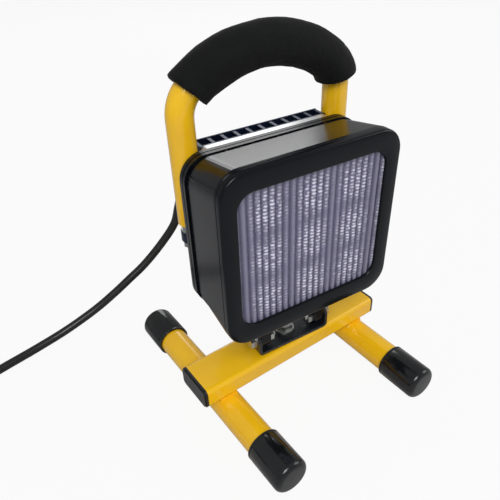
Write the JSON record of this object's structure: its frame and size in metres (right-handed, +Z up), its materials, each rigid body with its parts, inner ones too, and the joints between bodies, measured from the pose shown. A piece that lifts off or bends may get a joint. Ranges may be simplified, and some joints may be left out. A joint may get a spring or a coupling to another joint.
{
  "type": "LED work light",
  "caption": "Portable LED work light: finned square head with a ribbed lens on a tilting bracket, an H-shaped tube stand, a foam-gripped carrying handle and a mains lead with plug.",
  "frame": {"origin": "on the floor, under the middle of the two stand legs", "axes": "+Z up, the lens faces -Y, +X to the right of someone who looks at the lens"},
  "size_m": [0.426, 0.262, 0.2931],
  "materials": {
    "yellow_paint": "gloss powder coat",
    "end_plug_plastic": "satin",
    "cap_pvc": "gloss dipped PVC",
    "zinc_steel": "bright zinc",
    "black_steel": "satin black coat",
    "housing_coat": "satin black coat on die-cast aluminium",
    "lens_clear": "clear, ribbed and fluted",
    "gasket_rubber": "matte",
    "reflector_metal": "metallised",
    "pcb_white": "white solder mask on aluminium",
    "led_yellow": "phosphor",
    "wire_red": "satin",
    "plate_aluminium": "bare, machined",
    "sink_anodised": "dark anodised",
    "pcb_green": "solder mask",
    "component_grey": "satin",
    "switch_black": "satin",
    "rocker_red": "gloss",
    "gland_nylon": "satin",
    "foam": "matte foam",
    "lead_rubber": "satin",
    "tie_nylon": "satin",
    "plug_rubber": "satin",
    "pin_nickel": "nickel plated"
  },
  "bodies": {
    "stand": {"crossbar": "yellow_paint", "end_plug_left": "end_plug_plastic", "end_plug_right": "end_plug_plastic", "leg_left": "yellow_paint", "leg_right": "yellow_paint", "cap_front_left": "cap_pvc", "cap_front_right": "cap_pvc", "cap_rear_left": "cap_pvc", "cap_rear_right": "cap_pvc", "leg_welds": "yellow_paint", "swivel_bolt": "zinc_steel", "swivel_washers": "zinc_steel", "swivel_nut": "zinc_steel"},
    "bracket": {"tilt_bracket": "black_steel", "lead_coil": "lead_rubber", "lead_tie": "tie_nylon", "plug_body": "plug_rubber", "plug_pins": "pin_nickel"},
    "head": {"tilt_bolts": "zinc_steel", "tilt_washers": "zinc_steel", "tilt_nuts": "zinc_steel", "front_housing": "housing_coat", "front_bezel": "housing_coat", "lens": "lens_clear", "lens_gasket": "gasket_rubber", "reflector": "reflector_metal", "led_board": "pcb_white", "led_emitters": "led_yellow", "board_screws": "zinc_steel", "led_wires": "wire_red", "rear_plate": "housing_coat", "plate_gasket": "gasket_rubber", "plate_screws": "zinc_steel", "heat_spreader": "plate_aluminium", "heat_sink": "sink_anodised", "sink_screws": "zinc_steel", "driver_box": "housing_coat", "driver_board": "pcb_green", "driver_parts": "component_grey", "driver_cover": "housing_coat", "cover_gasket": "gasket_rubber", "cover_screws": "zinc_steel", "switch_frame": "switch_black", "gland_body": "gland_nylon", "gland_nut": "gland_nylon", "strain_relief": "lead_rubber", "handle_tube": "yellow_paint", "handle_inserts": "zinc_steel", "handle_lock_nuts": "zinc_steel", "handle_bolts": "zinc_steel", "grip": "foam", "mains_lead": "lead_rubber"},
    "switch": {"switch_rocker": "rocker_red"}
  },
  "joints": [
    {"name": "bracket_swivel", "type": "hinge", "parent": "stand", "child": "bracket", "pos_m": [0, -0.007, 0.045], "axis": [0, 0, 1], "range_deg": [-40, 50]},
    {"name": "head_tilt", "type": "hinge", "parent": "bracket", "child": "head", "pos_m": [-0.00061, -0.01397, 0.05705], "axis": [0.9962, -0.0872, 0], "range_deg": [-45, 45]},
    {"name": "switch_rock", "type": "hinge", "parent": "head", "child": "switch", "pos_m": [0.02293, 0.04851, 0.14], "axis": [0.9962, -0.0872, 0], "range_deg": [-24, 0]}
  ]
}
